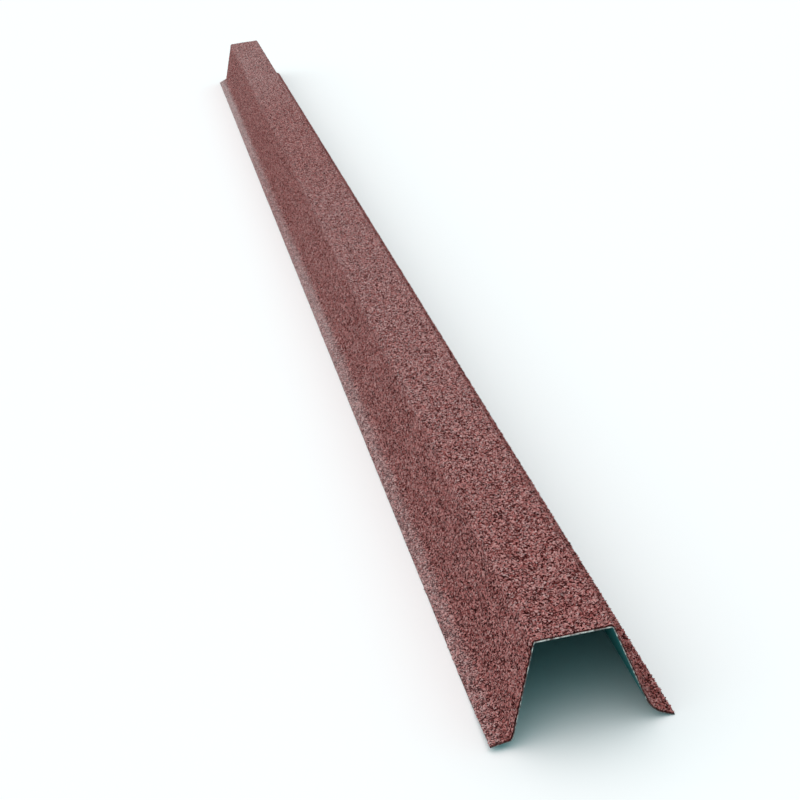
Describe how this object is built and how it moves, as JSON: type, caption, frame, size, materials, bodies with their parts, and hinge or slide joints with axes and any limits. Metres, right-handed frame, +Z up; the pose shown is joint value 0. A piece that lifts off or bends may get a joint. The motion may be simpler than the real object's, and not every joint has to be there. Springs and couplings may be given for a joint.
{
  "type": "roof ridge cap",
  "caption": "Long folded sheet steel ridge cap with a flat top, splayed sides, a small flange along each foot and a stone granule coat on the weather side.",
  "frame": {"origin": "on the ground under the middle of the cap, halfway along it", "axes": "+Y runs along the ridge, +X across it and +Z up; the end that the picture shows nearest is at -Y"},
  "size_m": [0.099, 2, 0.06],
  "materials": {
    "stone_granule_coat": "crushed stone granules in mauve red brown, bonded to the sheet, matte and coarse"
  },
  "bodies": {
    "root": {"ridge_cap": "stone_granule_coat"}
  },
  "joints": []
}
